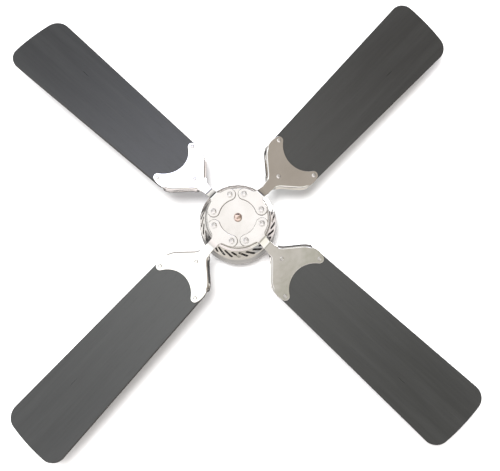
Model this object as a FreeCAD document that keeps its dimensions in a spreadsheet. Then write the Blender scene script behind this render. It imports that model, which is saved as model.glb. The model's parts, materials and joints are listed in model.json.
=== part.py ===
import FreeCAD, Part
import os
import math
import Sketcher

# Four-blade low-profile ("hugger") ceiling fan, built as it comes apart on a bench.
# Frame: +Z points up at the ceiling, Z = 0 is the ceiling contact face of the
# mounting bracket, the spin axis is Z and everything hangs below (negative Z).
# The blades lie on the diagonals, at 45, 135, 225 and 315 degrees.

V3 = FreeCAD.Vector
doc = FreeCAD.newDocument("ceiling_fan")

# ---------------------------------------------------------------- dimensions
sheet = doc.addObject("Spreadsheet::Sheet", "Params")
ROWS = [
    # levels along Z (mm, negative is below the ceiling)
    ("foot_level", -120.0, "lower face of the blade iron feet"),
    ("iron_gauge", 2.2, "sheet thickness of the blade irons"),
    ("hub_gauge", 2.5, "sheet thickness of the hub plate"),
    ("hub_radius", 54.6, "outer radius of the hub plate"),
    ("hub_bore", 6.8, "clearance bore of the hub plate round the shaft"),
    ("hub_lip", 4.8, "height of the rolled edge of the hub plate"),
    ("shell_radius", 69.5, "outer radius of the motor shells"),
    ("shell_wall", 2.2, "wall of the motor shells"),
    ("shell_top", -33.0, "top of the upper shell"),
    ("seam_level", -51.0, "joint between the two shells"),
    ("wall_low", -79.0, "where the straight wall meets the shoulder"),
    ("cone_low_level", -108.2, "lower end of the slotted cone"),
    ("cone_low_radius", 58.6, "radius there"),
    ("cone_top_level", -88.5, "upper end of the slotted cone"),
    ("cone_top_radius", 67.0, "radius there"),
    ("slot_count", 30, "cooling slots round the shoulder"),
    ("slot_length", 22.3, "overall length of a shoulder slot"),
    ("slot_width", 5.2, "width of a shoulder slot"),
    ("slot_lean", 45.0, "lean of a slot from the circumference, degrees"),
    ("top_slot_count", 20, "cooling slots in the upper shell"),
    ("seat_radius", 17.5, "bearing seat radius (35 mm bearing)"),
    ("seat_wall", 3.5, "wall of the bearing seats"),
    ("bearing_width", 11.0, "bearing width"),
    ("race_in", 10.7, "outer radius of the inner ring"),
    ("race_out", 14.4, "inner radius of the outer ring"),
    ("ball_pitch", 12.5, "ball circle radius"),
    ("ball_radius", 3.0, "ball radius"),
    ("bearing_low", -113.0, "lower face of the lower bearing"),
    ("bearing_high", -47.0, "lower face of the upper bearing"),
    ("shaft_radius", 7.5, "shaft radius in the bearings"),
    ("shaft_bore", 4.0, "bore of the hollow shaft"),
    ("shaft_end_radius", 6.0, "turned-down lower end of the shaft"),
    ("shaft_top", -7.0, "upper end of the shaft"),
    ("shaft_low", -122.8, "lower end of the shaft"),
    ("cap_radius", 7.3, "radius of the end cap"),
    ("cap_level", -127.0, "lowest point of the end cap"),
    ("stack_low", -82.0, "lower face of the laminations"),
    ("stack_high", -58.0, "upper face of the laminations"),
    ("stator_radius", 49.4, "stator outer radius"),
    ("rotor_bore", 50.0, "rotor lamination bore radius"),
    ("rotor_radius", 66.4, "rotor lamination outer radius"),
    ("pole_count", 12, "stator poles"),
    ("tooth_width", 5.0, "stator tooth width"),
    ("bar_count", 30, "cage bars"),
    ("bar_circle", 53.4, "cage bar circle radius"),
    ("bar_radius", 1.9, "cage bar radius"),
    ("tie_circle", 61.5, "circle of the four shell screws"),
    ("tie_boss", 4.5, "boss radius round a shell screw"),
    ("screw_radius", 1.95, "shank radius of the M4 screws"),
    ("foot_circle", 44.0, "circle of the eight foot screws"),
    ("foot_angle", 28.3, "half angle between the two screws of a foot"),
    ("foot_lobe", 10.4, "lobe radius of a foot"),
    ("foot_clear", 2.2, "screw hole radius in a foot"),
    ("neck_half", 8.3, "half width of the iron neck"),
    ("blade_pitch", 12.0, "pitch of the blades, degrees"),
    ("blade_rise", 3.5, "upward slope of the blades, degrees"),
    ("blade_origin", -111.4, "level of the blade mid plane carried back to the axis"),
    ("blade_gauge", 6.0, "blade thickness"),
    ("blade_root", 93.0, "radius where the blade starts"),
    ("blade_tip", 530.0, "radius of the blade tip"),
    ("blade_root_half", 52.9, "half width of the blade at the wide end of the iron"),
    ("blade_tip_half", 64.9, "half width of the blade at the tip"),
    ("tip_bulge", 2.9, "height of the convex end of the blade"),
    ("tip_corner", 25.5, "corner radius of the blade tip"),
    ("iron_apex", 139.5, "radius of the iron's hollow end on the centre line"),
    ("iron_hollow", 46.5, "radius of the hollow end"),
    ("iron_x_a", 74.0, "end of the parallel neck"),
    ("iron_x_b", 96.0, "start of the straight flank"),
    ("iron_y_b", 17.8, "half width there"),
    ("iron_x_c", 118.0, "end of the straight flank"),
    ("iron_y_c", 42.5, "half width there"),
    ("iron_x_d", 157.1, "start of the rounded lobe"),
    ("iron_y_d", 52.06, "half width there"),
    ("iron_x_e", 159.6, "end of the rounded lobe"),
    ("iron_y_e", 37.9, "half width there"),
    ("iron_flank_in", 30.0, "radius from neck to flank"),
    ("iron_flank_out", 38.3, "radius from flank to lobe"),
    ("iron_lobe", 8.0, "lobe radius"),
    ("iron_rim", 5.4, "height of the turned-up rim of the iron"),
    ("rim_gauge", 1.7, "thickness of the rim"),
    ("blade_screw_x", 154.7, "radius of the two outer blade screws"),
    ("blade_screw_y", 44.6, "their half spacing"),
    ("blade_screw_neck", 106.1, "radius of the neck blade screw"),
    ("blade_hole", 2.1, "screw hole radius in blade and iron"),
    ("bracket_radius", 57.8, "outer radius of the ceiling bracket"),
    ("bracket_gauge", 2.0, "sheet thickness of the bracket"),
    ("bracket_rim", 14.0, "depth of the bracket rim"),
    ("bracket_bore", 16.0, "wiring hole radius"),
    ("box_spacing", 88.9, "spacing of the two mounting slots"),
    ("box_slot_length", 12.0, "length of a mounting slot"),
    ("box_slot_half", 2.8, "half width of a mounting slot"),
    ("canopy_radius", 59.8, "outer radius of the canopy"),
    ("canopy_low", -27.0, "underside of the canopy"),
    ("canopy_gauge", 1.4, "wall of the canopy"),
    ("side_screw_level", -8.0, "level of the canopy side screws"),
    ("flange_radius", 30.0, "shaft flange radius"),
    ("flange_gauge", 4.0, "shaft flange thickness"),
    ("flange_circle", 22.0, "circle of the flange screws"),
]


class Dim:
    """A number of the sheet together with the expression that yields it."""
    def __init__(self, text, value):
        self.text = text
        self.value = float(value)

    def __add__(self, o):
        o = dim(o)
        return Dim("(%s + %s)" % (self.text, o.text), self.value + o.value)

    def __radd__(self, o):
        return dim(o) + self

    def __sub__(self, o):
        o = dim(o)
        return Dim("(%s - %s)" % (self.text, o.text), self.value - o.value)

    def __rsub__(self, o):
        return dim(o) - self

    def __mul__(self, o):
        o = dim(o)
        return Dim("(%s * %s)" % (self.text, o.text), self.value * o.value)

    def __rmul__(self, o):
        return dim(o) * self

    def __truediv__(self, o):
        o = dim(o)
        return Dim("(%s / %s)" % (self.text, o.text), self.value / o.value)

    def __rtruediv__(self, o):
        return dim(o) / self

    def __neg__(self):
        return Dim("(0 - %s)" % self.text, -self.value)


def dim(x):
    if isinstance(x, Dim):
        return x
    return Dim("%.6f" % x if x >= 0 else "(0 - %.6f)" % -x, x)


def dcos(x):
    x = dim(x)
    return Dim("cos(%s)" % x.text, math.cos(math.radians(x.value)))


def dsin(x):
    x = dim(x)
    return Dim("sin(%s)" % x.text, math.sin(math.radians(x.value)))


P = {}
for i, (name, val, note) in enumerate(ROWS):
    r = i + 1
    sheet.set("A%d" % r, name)
    sheet.set("B%d" % r, "%g" % val)
    sheet.set("C%d" % r, note)
    sheet.setAlias("B%d" % r, name)
    P[name] = Dim("Params." + name, val)
doc.recompute()


class Box:
    pass


p = Box()
for name in P:
    setattr(p, name, P[name])

NODES = []


# ---------------------------------------------------------------- helpers
def plane_of(body, role):
    for o in body.Origin.OriginFeatures:
        if o.Role == role:
            return o
    raise RuntimeError("no " + role)


def new_body(label):
    b = doc.addObject("PartDesign::Body", label)
    b.Label = label
    NODES.append(b)
    return b


def sketch(body, name, role="XY_Plane", offset=None):
    sk = body.newObject("Sketcher::SketchObject", name)
    sk.AttachmentSupport = [(plane_of(body, role), "")]
    sk.MapMode = "FlatFace"
    if offset is not None:
        sk.AttachmentOffset = offset
    return sk


def lift(sk, d):
    """Raise a sketch along its normal by a bound distance."""
    d = dim(d)
    sk.AttachmentOffset = FreeCAD.Placement(V3(0, 0, d.value), FreeCAD.Rotation())
    sk.setExpression("AttachmentOffset.Base.z", d.text)


def pin(sk, geo, pos, x, y):
    """Fix a vertex at a bound position."""
    x, y = dim(x), dim(y)
    if abs(x.value) < 1e-9:
        sk.addConstraint(Sketcher.Constraint("PointOnObject", geo, pos, -2))
    else:
        k = sk.addConstraint(Sketcher.Constraint("DistanceX", -1, 1, geo, pos, x.value))
        sk.setExpression("Constraints[%d]" % k, x.text)
    if abs(y.value) < 1e-9:
        sk.addConstraint(Sketcher.Constraint("PointOnObject", geo, pos, -1))
    else:
        k = sk.addConstraint(Sketcher.Constraint("DistanceY", -1, 1, geo, pos, y.value))
        sk.setExpression("Constraints[%d]" % k, y.text)


def outline(sk, pts, arcs=None):
    """Closed outline through bound vertices. arcs[i] = (radius, side) makes edge i,
    from vertex i to i + 1, an arc whose centre lies to the left (side = 1) or to
    the right (side = -1) of the direction of travel."""
    arcs = arcs or {}
    n = len(pts)
    ends = []
    base = sk.GeometryCount
    for i in range(n):
        x0, y0 = dim(pts[i][0]).value, dim(pts[i][1]).value
        x1, y1 = dim(pts[(i + 1) % n][0]).value, dim(pts[(i + 1) % n][1]).value
        if i in arcs:
            rad, side = arcs[i]
            R = dim(rad).value
            mx, my = (x0 + x1) / 2, (y0 + y1) / 2
            dx, dy = x1 - x0, y1 - y0
            c = math.hypot(dx, dy)
            q = math.sqrt(max(R * R - c * c / 4, 0.0))
            nx, ny = -dy / c, dx / c
            cx, cy = mx + side * q * nx, my + side * q * ny
            a0 = math.atan2(y0 - cy, x0 - cx)
            a1 = math.atan2(y1 - cy, x1 - cx)
            if side > 0:
                g = Part.ArcOfCircle(Part.Circle(V3(cx, cy, 0), V3(0, 0, 1), R), a0, a1)
                ends.append((1, 2))
            else:
                g = Part.ArcOfCircle(Part.Circle(V3(cx, cy, 0), V3(0, 0, 1), R), a1, a0)
                ends.append((2, 1))
            sk.addGeometry(g, False)
        else:
            sk.addGeometry(Part.LineSegment(V3(x0, y0, 0), V3(x1, y1, 0)), False)
            ends.append((1, 2))
    for i in range(n):
        j = (i + 1) % n
        sk.addConstraint(Sketcher.Constraint("Coincident", base + i, ends[i][1], base + j, ends[j][0]))
    for i in range(n):
        pin(sk, base + i, ends[i][0], pts[i][0], pts[i][1])
    for i in arcs:
        rad = dim(arcs[i][0])
        x0, y0 = dim(pts[i][0]), dim(pts[i][1])
        x1, y1 = dim(pts[(i + 1) % n][0]), dim(pts[(i + 1) % n][1])
        dx, dy = x1.value - x0.value, y1.value - y0.value
        if abs(math.hypot(dx, dy) / 2 - rad.value) > 1e-4:
            k = sk.addConstraint(Sketcher.Constraint("Radius", base + i, rad.value))
            sk.setExpression("Constraints[%d]" % k, rad.text)
        elif abs(dy) >= abs(dx):
            # half circle: its centre is the middle of the chord
            mid = (x0 + x1) / 2
            k = sk.addConstraint(Sketcher.Constraint("DistanceX", -1, 1, base + i, 3, mid.value))
            sk.setExpression("Constraints[%d]" % k, mid.text)
        else:
            mid = (y0 + y1) / 2
            k = sk.addConstraint(Sketcher.Constraint("DistanceY", -1, 1, base + i, 3, mid.value))
            sk.setExpression("Constraints[%d]" % k, mid.text)


def circle(sk, x, y, rad):
    x, y, rad = dim(x), dim(y), dim(rad)
    g = sk.addGeometry(Part.Circle(V3(x.value, y.value, 0), V3(0, 0, 1), rad.value), False)
    if abs(x.value) < 1e-9 and abs(y.value) < 1e-9:
        sk.addConstraint(Sketcher.Constraint("Coincident", g, 3, -1, 1))
    else:
        pin(sk, g, 3, x, y)
    k = sk.addConstraint(Sketcher.Constraint("Radius", g, rad.value))
    sk.setExpression("Constraints[%d]" % k, rad.text)


def revolve(body, name, pts, arcs=None):
    sk = sketch(body, name + "_profile", "XZ_Plane")
    outline(sk, pts, arcs)
    f = body.newObject("PartDesign::Revolution", name)
    f.Profile = sk
    f.ReferenceAxis = (sk, ["V_Axis"])
    f.Angle = 360
    return f


def groove(body, name, pts, arcs=None):
    sk = sketch(body, name + "_profile", "XZ_Plane")
    outline(sk, pts, arcs)
    f = body.newObject("PartDesign::Groove", name)
    f.Profile = sk
    f.ReferenceAxis = (sk, ["V_Axis"])
    f.Angle = 360
    return f


def pad(body, name, sk, length, both=False):
    f = body.newObject("PartDesign::Pad", name)
    f.Profile = sk
    length = dim(length)
    f.Length = length.value
    f.setExpression("Length", length.text)
    if both:
        f.SideType = "Symmetric"
    return f


def pocket(body, name, sk, length, both=False, up=False):
    """Cut along the sketch normal reversed; up cuts along the normal instead."""
    f = body.newObject("PartDesign::Pocket", name)
    f.Profile = sk
    length = dim(length)
    f.Length = length.value
    f.setExpression("Length", length.text)
    if both:
        f.SideType = "Symmetric"
    f.Reversed = up
    return f


def polar(body, name, feats, count):
    f = body.newObject("PartDesign::PolarPattern", name)
    f.Originals = feats
    f.Axis = (plane_of(body, "Z_Axis"), [""])
    f.Angle = 360
    count = dim(count)
    f.Occurrences = int(count.value)
    f.setExpression("Occurrences", count.text)
    body.Tip = f
    return f


def spin(az):
    return FreeCAD.Placement(V3(0, 0, 0), FreeCAD.Rotation(V3(0, 0, 1), az))


def prim(kind, label, **kw):
    o = doc.addObject(kind, label)
    for k, v in kw.items():
        v = dim(v)
        setattr(o, k, v.value)
        o.setExpression(k, v.text)
    return o


def at(o, x, y, z):
    x, y, z = dim(x), dim(y), dim(z)
    o.Placement = FreeCAD.Placement(V3(x.value, y.value, z.value), FreeCAD.Rotation())
    o.setExpression("Placement.Base.x", x.text)
    o.setExpression("Placement.Base.y", y.text)
    o.setExpression("Placement.Base.z", z.text)
    return o


def group(label, master, places):
    """One node of identical separate solids: links of a master at several places."""
    links = []
    for i, pl in enumerate(places):
        k = doc.addObject("App::Link", "%s_%d" % (label, i + 1))
        k.LinkedObject = master
        k.Placement = pl
        links.append(k)
    c = doc.addObject("Part::Compound", label)
    c.Label = label
    c.Links = links
    NODES.append(c)
    return c


def fuse(label, items):
    f = doc.addObject("Part::MultiFuse", label)
    f.Shapes = items
    return f


def cut(label, base, tool):
    f = doc.addObject("Part::Cut", label)
    f.Base = base
    f.Tool = tool
    return f


AZ = [45.0, 135.0, 225.0, 315.0]

# ------------------------------------------------ ceiling bracket and canopy
b = new_body("ceiling_bracket")
revolve(b, "bracket_pressing", [
    (p.bracket_bore, 0), (p.bracket_radius, 0), (p.bracket_radius, -p.bracket_rim),
    (p.bracket_radius - 1.8, -p.bracket_rim), (p.bracket_radius - 1.8, -p.bracket_gauge),
    (p.bracket_bore, -p.bracket_gauge)])
sk = sketch(b, "bracket_slots")
hx = p.box_spacing / 2
hl = p.box_slot_length / 2 - p.box_slot_half
for s in (1, -1):
    xa = (hx - hl) if s > 0 else -(hx + hl)
    xb = (hx + hl) if s > 0 else -(hx - hl)
    outline(sk, [(xa, -p.box_slot_half), (xb, -p.box_slot_half),
                 (xb, p.box_slot_half), (xa, p.box_slot_half)],
            {1: (p.box_slot_half, 1), 3: (p.box_slot_half, 1)})
for sx, sy in ((0.0, 1.0), (0.0, -1.0)):
    for dx in (-14.0, 14.0):
        circle(sk, dx, sy * 32.0, 1.6)
pocket(b, "bracket_slot_cut", sk, p.bracket_gauge + 1)
sk = sketch(b, "bracket_side_hole", "YZ_Plane")
circle(sk, 0, p.side_screw_level, p.screw_radius + 0.05)
f = pocket(b, "bracket_side_cut", sk, 70.0, up=True)
polar(b, "bracket_side_holes", [f], 4)
b.Placement = FreeCAD.Placement()

b = new_body("canopy")
t = p.canopy_gauge
revolve(b, "canopy_spinning", [
    (9.5, p.canopy_low), (47.0, p.canopy_low), (53.5, p.canopy_low + 2.6),
    (58.2, p.canopy_low + 9.0), (p.canopy_radius, p.canopy_low + 14.0),
    (p.canopy_radius, -0.5), (p.canopy_radius - t, -0.5),
    (p.canopy_radius - t, p.canopy_low + 14.2), (57.0, p.canopy_low + 9.8),
    (52.6, p.canopy_low + 3.9), (46.6, p.canopy_low + t), (9.5, p.canopy_low + t)])
sk = sketch(b, "canopy_side_hole", "YZ_Plane")
circle(sk, 0, p.side_screw_level, 2.15)
f = pocket(b, "canopy_side_cut", sk, 70.0, up=True)
polar(b, "canopy_side_holes", [f], 4)
sk = sketch(b, "canopy_flange_holes")
lift(sk, p.canopy_low)
for a in AZ:
    circle(sk, p.flange_circle * dcos(a), p.flange_circle * dsin(a), 2.15)
pocket(b, "canopy_flange_cut", sk, 4.0, up=True)

b = new_body("shaft_flange")
fz = p.canopy_low + p.canopy_gauge
revolve(b, "flange_turning", [
    (p.shaft_radius, fz), (p.flange_radius, fz), (p.flange_radius, fz + p.flange_gauge - 0.6),
    (p.flange_radius - 0.6, fz + p.flange_gauge), (14.5, fz + p.flange_gauge),
    (13.0, fz + p.flange_gauge + 1.5), (13.0, -9.6), (12.4, -9.0), (p.shaft_radius, -9.0)])
sk = sketch(b, "flange_holes")
lift(sk, fz)
for a in AZ:
    circle(sk, p.flange_circle * dcos(a), p.flange_circle * dsin(a), p.screw_radius + 0.05)
pocket(b, "flange_hole_cut", sk, 6.0, up=True)
sk = sketch(b, "flange_pin_hole", "YZ_Plane")
circle(sk, 0, -15.0, 2.05)
pocket(b, "flange_pin_cut", sk, 40.0, both=True)

# ------------------------------------------------ shaft and what sits on it
b = new_body("hollow_shaft")
revolve(b, "shaft_turning", [
    (p.shaft_bore, p.shaft_top - 0.6), (p.shaft_bore + 0.6, p.shaft_top), (p.shaft_radius - 0.6, p.shaft_top),
    (p.shaft_radius, p.shaft_top - 0.6), (p.shaft_radius, -114.8), (p.shaft_end_radius, -114.8),
    (p.shaft_end_radius, p.shaft_low + 0.8), (p.shaft_end_radius - 0.8, p.shaft_low), (p.shaft_bore, p.shaft_low)])
groove(b, "shaft_clip_grooves", [(7.0, -34.95), (8.5, -34.95), (8.5, -33.85), (7.0, -33.85)])
groove(b, "shaft_clip_groove_low", [(7.0, -114.15), (8.5, -114.15), (8.5, -113.05), (7.0, -113.05)])
sk = sketch(b, "shaft_pin_hole", "YZ_Plane")
circle(sk, 0, -15.0, 2.05)
pocket(b, "shaft_pin_cut", sk, 40.0, both=True)
sk = sketch(b, "shaft_lead_hole", "XZ_Plane")
circle(sk, 0, -52.5, 2.4)
pocket(b, "shaft_lead_cut", sk, 20.0, up=True)

m = prim("Part::Cylinder", "cross_pin_body", Radius=2.0, Height=25.0)
m.Placement = FreeCAD.Placement(V3(-12.5, 0, -15.0), FreeCAD.Rotation(V3(0, 1, 0), 90))
c = doc.addObject("Part::Chamfer", "cross_pin")
c.Base = m
c.Edges = [(1, 0.4, 0.4), (3, 0.4, 0.4)]
c.Label = "cross_pin"
NODES.append(c)

ring = cut("clip_ring", prim("Part::Cylinder", "clip_disc", Radius=9.6, Height=1.0),
           prim("Part::Cylinder", "clip_bore", Radius=7.02, Height=1.0))
gap = at(prim("Part::Box", "clip_gap", Length=6.0, Width=3.0, Height=1.0), 5.0, -1.5, 0.0)
clip = cut("clip_open", ring, gap)
group("circlips", clip, [FreeCAD.Placement(V3(0, 0, -34.9), FreeCAD.Rotation()),
                         FreeCAD.Placement(V3(0, 0, -114.1), FreeCAD.Rotation())])

b = new_body("shaft_end_cap")
ct = p.cap_level
revolve(b, "cap_turning", [
    (0, ct), (2.6, ct + 0.25), (5.0, ct + 1.2), (6.6, ct + 2.8), (p.cap_radius, ct + 5.2),
    (p.cap_radius, -119.6), (p.cap_radius - 0.4, -119.2), (p.shaft_end_radius + 0.02, -119.2),
    (p.shaft_end_radius + 0.02, p.shaft_low - 0.1), (0, p.shaft_low - 0.1)])

b = new_body("wire_bushing")
revolve(b, "bushing_turning", [
    (2.4, -11.0), (p.shaft_bore - 0.05, -11.0), (p.shaft_bore - 0.05, -6.9), (6.6, -6.9),
    (6.6, -5.6), (5.9, -4.9), (3.1, -4.9), (2.4, -5.6)])

# ------------------------------------------------ bearings
def race(label, ri, ro):
    o = prim("Part::Cylinder", label + "_outer", Radius=ro, Height=p.bearing_width)
    i = prim("Part::Cylinder", label + "_bore", Radius=ri, Height=p.bearing_width)
    t = prim("Part::Torus", label + "_track", Radius1=p.ball_pitch, Radius2=p.ball_radius + 0.3)
    at(t, 0, 0, p.bearing_width / 2)
    return cut(label, cut(label + "_ring", o, i), t)


b_low = FreeCAD.Placement(V3(0, 0, p.bearing_low.value), FreeCAD.Rotation())
b_high = FreeCAD.Placement(V3(0, 0, p.bearing_high.value), FreeCAD.Rotation())
group("bearing_inner_rings", race("inner_race", p.shaft_radius, p.race_in), [b_low, b_high])
group("bearing_outer_rings", race("outer_race", p.race_out, p.seat_radius), [b_low, b_high])
ball = prim("Part::Sphere", "ball", Radius=p.ball_radius)
balls = []
for pl in (b_low, b_high):
    for k in range(8):
        a = math.radians(45.0 * k)
        balls.append(FreeCAD.Placement(V3(12.5 * math.cos(a), 12.5 * math.sin(a), pl.Base.z + 5.5), FreeCAD.Rotation()))
group("bearing_balls", ball, balls)
o = prim("Part::Cylinder", "cage_outer", Radius=13.5, Height=2.9)
i = prim("Part::Cylinder", "cage_inner", Radius=11.5, Height=2.9)
ring = cut("cage_ring", o, i)
at(o, 0, 0, 6.9)
at(i, 0, 0, 6.9)
hole = prim("Part::Sphere", "cage_pocket", Radius=p.ball_radius + 0.12)
holes = []
for k in range(8):
    a = math.radians(45.0 * k)
    l = doc.addObject("App::Link", "cage_pocket_%d" % (k + 1))
    l.LinkedObject = hole
    l.Placement = FreeCAD.Placement(V3(12.5 * math.cos(a), 12.5 * math.sin(a), 5.5), FreeCAD.Rotation())
    holes.append(l)
hc = doc.addObject("Part::Compound", "cage_pockets")
hc.Links = holes
cage = cut("cage_crown", ring, hc)
group("bearing_cages", cage, [b_low, b_high])
b = new_body("preload_washer")
revolve(b, "preload_turning", [(14.6, -35.95), (17.2, -35.95), (17.2, -35.25), (14.6, -35.25)])

# ------------------------------------------------ stator
b = new_body("stator_core")
sk = sketch(b, "stator_disc")
lift(sk, p.stack_low)
circle(sk, 0, 0, p.stator_radius)
circle(sk, 0, 0, p.shaft_radius)
pad(b, "stator_stack", sk, p.stack_high - p.stack_low)
sk = sketch(b, "stator_slot")
lift(sk, p.stack_high)
half = 180.0 / p.pole_count
tw = p.tooth_width / 2
# a slot lies between two teeth, centred on the X axis; the teeth are at +-15 degrees
def slot_side(rad):
    ang = math.degrees(math.asin(tw.value / rad))
    return Dim("%.6f" % (rad * math.sin(math.radians(half.value - ang))), rad * math.sin(math.radians(half.value - ang)))


outline(sk, [(23.6, -slot_side(24.0)), (45.0, -slot_side(46.0)), (46.6, -1.4), (51.0, -1.4),
             (51.0, 1.4), (46.6, 1.4), (45.0, slot_side(46.0)), (23.6, slot_side(24.0))])
f = pocket(b, "stator_slot_cut", sk, p.stack_high - p.stack_low + 1)
polar(b, "stator_slots", [f], p.pole_count)


def insulator(label, low):
    b = new_body(label)
    sk = sketch(b, label + "_hub")
    lift(sk, low)
    circle(sk, 0, 0, 23.4)
    circle(sk, 0, 0, 9.0)
    pad(b, label + "_ring", sk, 0.9)
    sk = sketch(b, label + "_arm")
    lift(sk, low)
    a = math.radians(15.0)
    c, s = math.cos(a), math.sin(a)
    w = 2.4
    pts = [(22.8, -w), (45.5, -w), (45.5, w), (22.8, w)]
    outline(sk, [(x * c - y * s, x * s + y * c) for x, y in pts])
    f = pad(b, label + "_finger", sk, 0.9)
    polar(b, label + "_fingers", [f], p.pole_count)


insulator("stator_insulator_upper", p.stack_high)
insulator("stator_insulator_lower", p.stack_low - 0.9)

# twelve coils, one round each tooth
o = at(prim("Part::Box", "coil_outer", Length=16.5, Width=11.0, Height=39.0), 26.5, -5.5, -89.5)
i = at(prim("Part::Box", "coil_inner", Length=20.0, Width=5.4, Height=26.4), 24.5, -2.7, -83.2)
of = doc.addObject("Part::Fillet", "coil_rounded")
of.Base = o
of.Edges = [(k, 2.2, 2.2) for k in (2, 4, 6, 8)]
coil = cut("coil", of, i)
group("stator_windings", coil, [spin(15.0 + 30.0 * k) for k in range(12)])

# ------------------------------------------------ rotor laminations and cage
b = new_body("rotor_core")
sk = sketch(b, "rotor_disc")
lift(sk, p.stack_low)
circle(sk, 0, 0, p.rotor_radius)
circle(sk, 0, 0, p.rotor_bore)
for a in (0.0, 90.0, 180.0, 270.0):
    circle(sk, p.tie_circle * dcos(a), p.tie_circle * dsin(a), p.screw_radius + 0.15)
pad(b, "rotor_stack", sk, p.stack_high - p.stack_low)
sk = sketch(b, "rotor_bar_hole")
lift(sk, p.stack_high)
circle(sk, p.bar_circle, 0, p.bar_radius + 0.05)
f = pocket(b, "rotor_bar_cut", sk, p.stack_high - p.stack_low + 1)
polar(b, "rotor_bar_holes", [f], p.bar_count)

b = new_body("rotor_cage")
for nm, lv in (("low", p.stack_low - 4.0), ("high", p.stack_high)):
    sk = sketch(b, "cage_%s_ring" % nm)
    lift(sk, lv)
    circle(sk, 0, 0, 56.3)
    circle(sk, 0, 0, 50.5)
    pad(b, "cage_%s" % nm, sk, 4.0)
sk = sketch(b, "cage_bar")
lift(sk, p.stack_low - 2.0)
circle(sk, p.bar_circle, 0, p.bar_radius)
f = pad(b, "cage_bar_pad", sk, p.stack_high - p.stack_low + 4.0)
polar(b, "cage_bars", [f], p.bar_count)

# ------------------------------------------------ lower motor shell
b = new_body("lower_shell")
w = p.shell_wall
face = p.foot_level + p.iron_gauge + p.hub_gauge      # face that the hub plate lies on
outer = [
    (50.0, face), (50.0, -112.6), (56.0, -112.6), (57.4, -111.2), (57.4, -109.0),
    (p.cone_low_radius, p.cone_low_level), (p.cone_top_radius, p.cone_top_level),
    (68.5, -84.2), (p.shell_radius, p.wall_low)]
revolve(b, "lower_shell_casting", [(11.2, face)] + outer + [
    (p.shell_radius, p.seam_level), (p.shell_radius - w, p.seam_level),
    (p.shell_radius - w, p.wall_low), (66.2, -84.8), (65.6, -88.2), (57.5, -107.0),
    (54.0, -109.8), (47.5, -109.8), (47.5, -112.4),
    (p.seat_radius + p.seat_wall, -112.4), (p.seat_radius + p.seat_wall, p.bearing_low + p.bearing_width + 0.6),
    (p.seat_radius, p.bearing_low + p.bearing_width + 0.6), (p.seat_radius, p.bearing_low),
    (11.2, p.bearing_low)])
# bosses under the laminations, trimmed to the outside of the shoulder below
sk = sketch(b, "tie_bosses")
lift(sk, -97.0)
for a in (0.0, 90.0, 180.0, 270.0):
    circle(sk, p.tie_circle * dcos(a), p.tie_circle * dsin(a), p.tie_boss)
pad(b, "tie_boss_pads", sk, p.stack_low + 97.0)
groove(b, "shoulder_trim", [
    (p.cone_low_radius - 4.0, p.cone_low_level - 9.4), (p.cone_low_radius, p.cone_low_level),
    (p.cone_top_radius, p.cone_top_level), (80.0, p.cone_top_level), (80.0, p.cone_low_level - 9.4)])
# bosses for the foot screws
sk = sketch(b, "foot_bosses")
lift(sk, -112.6)
for a in AZ:
    for s in (1, -1):
        circle(sk, p.foot_circle * dcos(a + s * p.foot_angle), p.foot_circle * dsin(a + s * p.foot_angle), 4.6)
pad(b, "foot_boss_pads", sk, 6.6)
sk = sketch(b, "foot_threads")
lift(sk, face)
for a in AZ:
    for s in (1, -1):
        circle(sk, p.foot_circle * dcos(a + s * p.foot_angle), p.foot_circle * dsin(a + s * p.foot_angle), p.screw_radius + 0.1)
pocket(b, "foot_thread_cut", sk, 12.0, up=True)
sk = sketch(b, "tie_threads")
lift(sk, p.stack_low)
for a in (0.0, 90.0, 180.0, 270.0):
    circle(sk, p.tie_circle * dcos(a), p.tie_circle * dsin(a), p.screw_radius + 0.05)
pocket(b, "tie_thread_cut", sk, 10.5)
# leaning cooling slots on the cone
cx = (p.cone_low_radius + p.cone_top_radius) / 2 + 0.64
cz = (p.cone_low_level + p.cone_top_level) / 2 + 1.5
dx = (p.cone_top_radius - p.cone_low_radius).value
dz = (p.cone_top_level - p.cone_low_level).value
ln = math.hypot(dx, dz)
vx, vz = dx / ln, dz / ln
u, v = V3(0, 1, 0), V3(vx, 0, vz)
nrm = u.cross(v)
mat = FreeCAD.Matrix(u.x, v.x, nrm.x, 0, u.y, v.y, nrm.y, 0, u.z, v.z, nrm.z, 0, 0, 0, 0, 1)
# the first slot is turned so that the four tie bosses fall between the upper slot ends
turn = FreeCAD.Rotation(V3(0, 0, 1), 11.4)
rot = turn.multiply(FreeCAD.Placement(mat).Rotation)
pos = turn.multVec(V3(cx.value, 0, cz.value))
sk = sketch(b, "shoulder_slot", "XY_Plane", FreeCAD.Placement(pos, rot))
hs = (p.slot_length - p.slot_width) / 2
hw = p.slot_width / 2
ca, sa = dcos(p.slot_lean), dsin(p.slot_lean)
def lean(a, c):
    # long axis runs against the azimuth as it climbs
    return (-(a * ca) - c * sa, a * sa - c * ca)


outline(sk, [lean(-hs, hw), lean(hs, hw), lean(hs, -hw), lean(-hs, -hw)],
        {1: (hw, -1), 3: (hw, -1)})
f = pocket(b, "shoulder_slot_cut", sk, 5.6, both=True)
polar(b, "shoulder_slots", [f], p.slot_count)

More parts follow.
